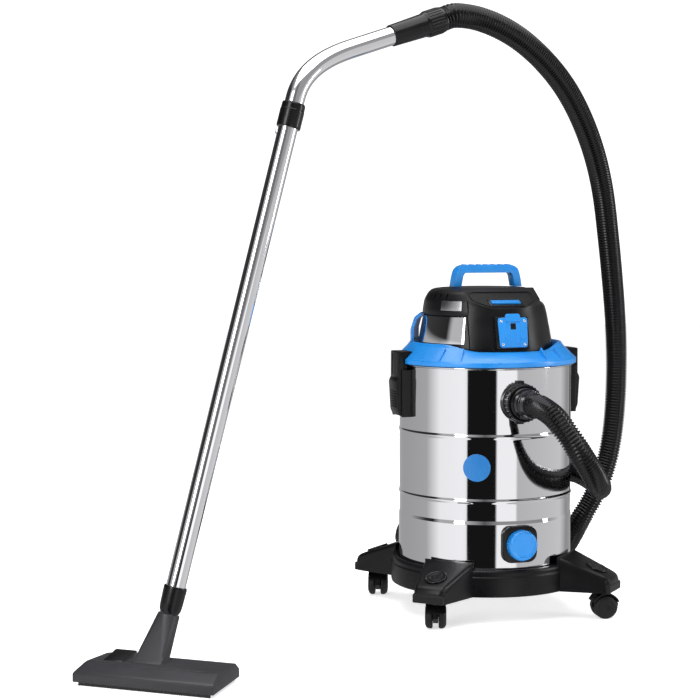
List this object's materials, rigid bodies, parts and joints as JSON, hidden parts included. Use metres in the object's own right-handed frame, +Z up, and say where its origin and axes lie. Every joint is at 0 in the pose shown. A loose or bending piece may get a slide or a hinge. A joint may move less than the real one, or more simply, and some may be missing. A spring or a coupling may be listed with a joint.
{
  "type": "shop vacuum",
  "caption": "Wet and dry shop vacuum on casters: mirror steel drum, blue lid ring and handle, motor head, latches, corrugated hose, chrome wand and floor nozzle.",
  "frame": {"origin": "on the floor under the middle of the box round the drum, head, wand and nozzle", "axes": "+Z up; the switch, hose inlet and drain face -Y; the wand and nozzle stand towards -X"},
  "size_m": [1.2197, 1.039, 1.1283],
  "materials": {
    "steel": "mirror-polished stainless steel",
    "chrome": "bright chrome plate",
    "blue": "satin moulded plastic",
    "black": "fine-grained moulded plastic",
    "hose": "corrugated flexible plastic",
    "rubber": "soft moulded rubber",
    "paper": "pleated filter paper",
    "zinc": "zinc-plated steel",
    "bristle": "nylon bristle"
  },
  "bodies": {
    "chassis": {"dolly_base": "black", "foot_cap_front_left": "black", "foot_cap_front_right": "black", "foot_cap_rear_left": "black", "foot_cap_rear_right": "black", "drum": "steel", "inlet_flange": "black", "inlet_deflector": "black", "hose_connector": "black", "drain_plate": "black", "latch_bracket_left": "black", "latch_bracket_right": "black", "latch_pin_left": "zinc", "latch_pin_right": "zinc", "hose": "hose", "hose_end_cuff": "black", "bent_tube": "chrome", "tube_sleeve": "black", "straight_tube": "chrome", "nozzle_collar": "black"},
    "head": {"lid_ring": "blue", "lid_seal": "rubber", "cord_guard": "blue", "float_cage": "black", "filter_cartridge": "paper", "motor_plate": "black", "motor": "zinc", "head_shell": "black", "front_panel": "black", "switch_bezel": "black", "socket_box": "black", "chrome_band": "chrome", "chrome_strip": "chrome", "side_cap": "black", "carry_handle": "blue", "blower_port": "black", "cable_gland": "black"},
    "caster_front_left": {"caster_housing_front_left": "black"},
    "wheels_front_left": {"caster_wheels_front_left": "black"},
    "caster_front_right": {"caster_housing_front_right": "black"},
    "wheels_front_right": {"caster_wheels_front_right": "black"},
    "caster_rear_left": {"caster_housing_rear_left": "black"},
    "wheels_rear_left": {"caster_wheels_rear_left": "black"},
    "caster_rear_right": {"caster_housing_rear_right": "black"},
    "wheels_rear_right": {"caster_wheels_rear_right": "black"},
    "latch_left": {"latch_lever_left": "black"},
    "latch_right": {"latch_lever_right": "black"},
    "fan": {"fan_and_shaft": "zinc"},
    "float": {"float_ball": "blue"},
    "rocker": {"rocker_switch": "blue"},
    "flap": {"socket_flap": "blue"},
    "lock_ring": {"hose_lock_ring": "black"},
    "drain_seal": {"drain_seal": "rubber"},
    "drain_cap": {"drain_cap": "blue"},
    "tube_button": {"tube_button": "zinc"},
    "neck": {"nozzle_neck": "black"},
    "nozzle": {"nozzle_body": "black"},
    "pedal": {"nozzle_pedal": "black"},
    "brush": {"brush_strip": "bristle"}
  },
  "joints": [
    {"name": "swivel_front_left", "type": "hinge", "parent": "chassis", "child": "caster_front_left", "pos_m": [0.16028, -0.0158, 0.05], "axis": [0, 0, 1], "continuous": true},
    {"name": "roll_front_left", "type": "hinge", "parent": "caster_front_left", "child": "wheels_front_left", "pos_m": [0.16552, -0.00282, 0.0232], "axis": [0.9272, -0.3746, 0], "continuous": true},
    {"name": "swivel_front_right", "type": "hinge", "parent": "chassis", "child": "caster_front_right", "pos_m": [0.48611, -0.0158, 0.05], "axis": [0, 0, 1], "continuous": true},
    {"name": "roll_front_right", "type": "hinge", "parent": "caster_front_right", "child": "wheels_front_right", "pos_m": [0.49998, -0.01775, 0.0232], "axis": [-0.1392, -0.9903, 0], "continuous": true},
    {"name": "swivel_rear_left", "type": "hinge", "parent": "chassis", "child": "caster_rear_left", "pos_m": [0.16028, 0.31003, 0.05], "axis": [0, 0, 1], "continuous": true},
    {"name": "roll_rear_left", "type": "hinge", "parent": "caster_rear_left", "child": "wheels_rear_left", "pos_m": [0.16552, 0.32301, 0.0232], "axis": [0.9272, -0.3746, 0], "continuous": true},
    {"name": "swivel_rear_right", "type": "hinge", "parent": "chassis", "child": "caster_rear_right", "pos_m": [0.48611, 0.31003, 0.05], "axis": [0, 0, 1], "continuous": true},
    {"name": "roll_rear_right", "type": "hinge", "parent": "caster_rear_right", "child": "wheels_rear_right", "pos_m": [0.47911, 0.29791, 0.0232], "axis": [-0.866, 0.5, 0], "continuous": true},
    {"name": "head_lift", "type": "slide", "parent": "chassis", "child": "head", "axis": [0, 0, 1], "range_m": [0, 0.28]},
    {"name": "latch_left", "type": "hinge", "parent": "chassis", "child": "latch_left", "pos_m": [0.14669, 0.14711, 0.3853], "axis": [0, -1, 0], "range_deg": [0, 110]},
    {"name": "latch_right", "type": "hinge", "parent": "chassis", "child": "latch_right", "pos_m": [0.49969, 0.14711, 0.3853], "axis": [0, 1, 0], "range_deg": [0, 110]},
    {"name": "fan_spin", "type": "hinge", "parent": "head", "child": "fan", "pos_m": [0.32319, 0.14711, 0.52], "axis": [0, 0, 1], "continuous": true},
    {"name": "float_rise", "type": "slide", "parent": "head", "child": "float", "axis": [0, 0, 1], "range_m": [0, 0.081]},
    {"name": "switch_rock", "type": "hinge", "parent": "head", "child": "rocker", "pos_m": [0.32319, 0.05062, 0.59641], "axis": [1, 0, 0], "range_deg": [0, 12]},
    {"name": "socket_flap_open", "type": "hinge", "parent": "head", "child": "flap", "pos_m": [0.32319, 0.01723, 0.57348], "axis": [-1, 0, 0], "range_deg": [0, 100], "stiffness_Nm_per_rad": 0.01},
    {"name": "hose_lock_turn", "type": "hinge", "parent": "chassis", "child": "lock_ring", "pos_m": [0.32319, -0.03789, 0.415], "axis": [0, -1, 0], "range_deg": [0, 45]},
    {"name": "drain_unscrew", "type": "slide", "parent": "chassis", "child": "drain_seal", "axis": [0, -1, 0], "range_m": [0, 0.0032]},
    {"name": "drain_turn", "type": "hinge", "parent": "drain_seal", "child": "drain_cap", "pos_m": [0.32319, -0.02638, 0.151], "axis": [0, -1, 0], "range_deg": [0, 360]},
    {"name": "button_press", "type": "slide", "parent": "chassis", "child": "tube_button", "axis": [0.8886, -0.4013, -0.2222], "range_m": [0, 0.0025], "stiffness_N_per_m": 200},
    {"name": "nozzle_swivel", "type": "hinge", "parent": "chassis", "child": "neck", "pos_m": [-0.37769, -0.19712, 0.1038], "axis": [-0.2609, -0.0438, -0.9644], "range_deg": [-20, 20]},
    {"name": "nozzle_tilt", "type": "hinge", "parent": "neck", "child": "nozzle", "pos_m": [-0.41294, -0.22043, 0.0265], "axis": [0.7837, -0.6211, 0], "range_deg": [-20, 20]},
    {"name": "pedal_press", "type": "hinge", "parent": "nozzle", "child": "pedal", "pos_m": [-0.45591, -0.18127, 0.032], "axis": [-0.7837, 0.6211, 0], "range_deg": [0, 8]},
    {"name": "brush_retract", "type": "slide", "parent": "nozzle", "child": "brush", "axis": [0, 0, 1], "range_m": [0, 0.005]}
  ],
  "couplings": [
    {"joint": "latch_left", "follows": "head_lift", "rad_per_m": 6.8},
    {"joint": "latch_right", "follows": "head_lift", "rad_per_m": 6.8},
    {"joint": "drain_unscrew", "follows": "drain_turn", "m_per_rad": 0.0005},
    {"joint": "brush_retract", "follows": "pedal_press", "m_per_rad": 0.0355}
  ]
}
